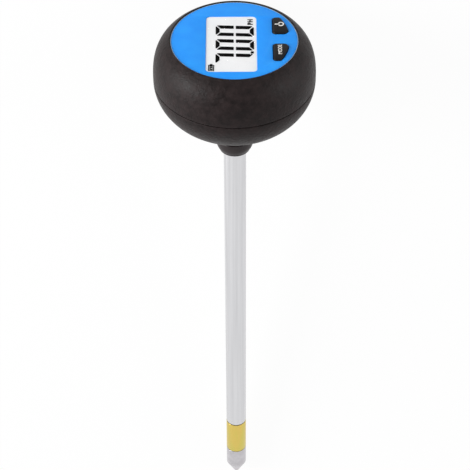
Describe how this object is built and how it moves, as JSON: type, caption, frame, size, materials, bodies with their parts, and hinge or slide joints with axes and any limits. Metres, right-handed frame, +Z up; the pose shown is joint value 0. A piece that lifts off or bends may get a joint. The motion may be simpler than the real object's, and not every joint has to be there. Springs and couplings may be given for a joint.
{
  "type": "soil tester",
  "caption": "Handheld soil tester: a round head with a display and keys on its face, on a long metal probe with a ring electrode and a pointed tip.",
  "frame": {"origin": "on the surface that the tester lies on, under the middle of its bounding box", "axes": "+Z up; -Y the way the display faces; +Y towards the tip of the probe; +X to the right when looking along +Y, with the keys on the -X side"},
  "size_m": [0.0644, 0.2646, 0.0644],
  "materials": {
    "charcoal_shell": "soft-touch charcoal, fine grain",
    "black_plastic": "satin black",
    "key_rubber": "soft black key",
    "blue_face": "azure overlay, light sheen",
    "clear_window": "clear plastic pane",
    "display_glass": "grey liquid crystal panel",
    "white_plastic": "plain white",
    "board": "solder-masked board",
    "seal_rubber": "matte black",
    "steel": "plain bright steel",
    "satin_alloy": "satin light metal",
    "brass": "satin yellow metal",
    "red_wire": "red wire cover",
    "black_wire": "black wire cover"
  },
  "bodies": {
    "meter": {"board_screw_1": "steel", "board_screw_2": "steel", "board_screw_3": "steel", "button_cell_1": "steel", "button_cell_2": "steel", "case_screw_1": "steel", "case_screw_2": "steel", "case_screw_3": "steel", "case_screw_4": "steel", "cell_spring": "steel", "centre_rod": "steel", "circuit_board": "board", "collar_nut": "black_plastic", "contact_strip_far": "seal_rubber", "contact_strip_near": "seal_rubber", "display_window": "clear_window", "face_plate": "blue_face", "lcd_frame": "white_plastic", "lcd_panel": "display_glass", "lower_insulator": "black_plastic", "lower_shell": "charcoal_shell", "main_chip": "black_plastic", "mode_switch": "black_plastic", "negative_lead": "black_wire", "positive_lead": "red_wire", "positive_strip": "steel", "power_switch": "black_plastic", "probe_tube": "satin_alloy", "ring_electrode": "brass", "ring_lead": "white_plastic", "rod_sleeve": "white_plastic", "tip_electrode": "satin_alloy", "tip_lead": "red_wire", "tube_nut": "brass", "tube_seal": "seal_rubber", "upper_insulator": "black_plastic", "upper_shell": "charcoal_shell"},
    "power_key": {"power_button": "key_rubber", "power_plunger": "white_plastic"},
    "mode_key": {"mode_button": "key_rubber", "mode_plunger": "white_plastic"},
    "battery_cap": {"battery_cap": "charcoal_shell", "cap_seal": "seal_rubber", "cap_contact": "steel"}
  },
  "joints": [
    {"name": "power_button_press", "type": "slide", "parent": "meter", "child": "power_key", "axis": [0, 0.9933, -0.1154], "range_m": [0, 0.0008], "stiffness_N_per_m": 600, "springref_m": -0.0008},
    {"name": "mode_button_press", "type": "slide", "parent": "meter", "child": "mode_key", "axis": [0, 0.9933, -0.1154], "range_m": [0, 0.0008], "stiffness_N_per_m": 600, "springref_m": -0.0008},
    {"name": "battery_cap_turn", "type": "hinge", "parent": "meter", "child": "battery_cap", "pos_m": [0, -0.09893, 0.00855], "axis": [0, 0.7419, -0.6705], "range_deg": [0, 60]}
  ]
}
